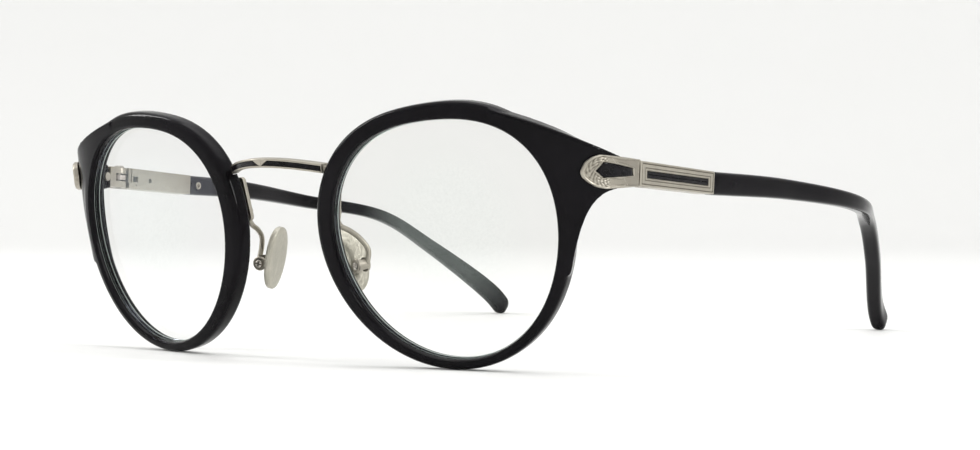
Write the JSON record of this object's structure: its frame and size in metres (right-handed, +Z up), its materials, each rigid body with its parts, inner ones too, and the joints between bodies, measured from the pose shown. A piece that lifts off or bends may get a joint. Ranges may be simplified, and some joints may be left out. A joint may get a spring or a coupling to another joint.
{
  "type": "round eyeglasses",
  "caption": "Round eyeglasses with glossy acetate rims and temples, a metal bridge with enamel lines, rocking metal nose pads, and arrow plaques with sprung folding hinges.",
  "frame": {"origin": "on the table, under the middle of the box round the whole object", "axes": "-Y is where the wearer looks, +Y runs back along the open temples, +X is the wearer's left, +Z is up from the table; millimetre drawing, row in metres"},
  "size_m": [0.1488, 0.1564, 0.0475],
  "materials": {
    "acetate": "polished near-black cellulose acetate",
    "lens": "clear with a faint blue-violet anti-reflection coating",
    "silver": "antique silver, engraved and darkened in the recesses",
    "inner_steel": "plain spring steel",
    "screw_steel": "turned steel",
    "pad_metal": "finely brushed",
    "enamel": "black enamel, slightly sunk"
  },
  "bodies": {
    "front": {"bridge": "silver", "rim_left": "acetate", "lens_left": "lens", "bridge_inlay_left": "enamel", "nose_arm_left": "silver", "nose_arm_screw_left": "screw_steel", "nose_pad_screw_left": "screw_steel", "plaque_left": "silver", "plaque_inlay_left": "enamel", "plaque_rivet_front_left": "screw_steel", "plaque_rivet_rear_left": "screw_steel", "hinge_screw_left": "screw_steel", "rim_right": "acetate", "lens_right": "lens", "bridge_inlay_right": "enamel", "nose_arm_right": "silver", "nose_arm_screw_right": "screw_steel", "nose_pad_screw_right": "screw_steel", "plaque_right": "silver", "plaque_inlay_right": "enamel", "plaque_rivet_front_right": "screw_steel", "plaque_rivet_rear_right": "screw_steel", "hinge_screw_right": "screw_steel"},
    "carriage_left": {"hinge_carriage_left": "inner_steel", "hinge_spring_nut_left": "screw_steel", "hinge_spring_left": "inner_steel"},
    "temple_left": {"temple_housing_left": "silver", "housing_inlay_left": "enamel", "hinge_collar_left": "inner_steel", "temple_left": "acetate", "temple_core_left": "inner_steel", "temple_stud_left": "silver"},
    "nose_pad_left": {"nose_pad_left": "pad_metal"},
    "carriage_right": {"hinge_carriage_right": "inner_steel", "hinge_spring_nut_right": "screw_steel", "hinge_spring_right": "inner_steel"},
    "temple_right": {"temple_housing_right": "silver", "housing_inlay_right": "enamel", "hinge_collar_right": "inner_steel", "temple_right": "acetate", "temple_core_right": "inner_steel", "temple_stud_right": "silver"},
    "nose_pad_right": {"nose_pad_right": "pad_metal"}
  },
  "joints": [
    {"name": "fold_left", "type": "hinge", "parent": "front", "child": "carriage_left", "pos_m": [0.0634, -0.05189, 0.03459], "axis": [0.0149, 0.0622, 0.998], "range_deg": [-10, 85]},
    {"name": "fold_right", "type": "hinge", "parent": "front", "child": "carriage_right", "pos_m": [-0.0634, -0.05189, 0.03459], "axis": [0.0149, -0.0622, -0.998], "range_deg": [-10, 70]},
    {"name": "spring_travel_left", "type": "slide", "parent": "carriage_left", "child": "temple_left", "axis": [0.0682, 0.9957, -0.0631], "range_m": [0, 0.0012], "stiffness_N_per_m": 600, "springref_m": -0.001, "deforming": ["hinge_spring_left"]},
    {"name": "spring_travel_right", "type": "slide", "parent": "carriage_right", "child": "temple_right", "axis": [-0.0682, 0.9957, -0.0631], "range_m": [0, 0.0012], "stiffness_N_per_m": 600, "springref_m": -0.001, "deforming": ["hinge_spring_right"]},
    {"name": "nose_pad_rock_left", "type": "hinge", "parent": "front", "child": "nose_pad_left", "pos_m": [0.0121, -0.06382, 0.01799], "axis": [0.2419, 0.9591, 0.1468], "range_deg": [-8, 8]},
    {"name": "nose_pad_rock_right", "type": "hinge", "parent": "front", "child": "nose_pad_right", "pos_m": [-0.0121, -0.06382, 0.01799], "axis": [0.2419, -0.9591, -0.1468], "range_deg": [-8, 8]}
  ]
}
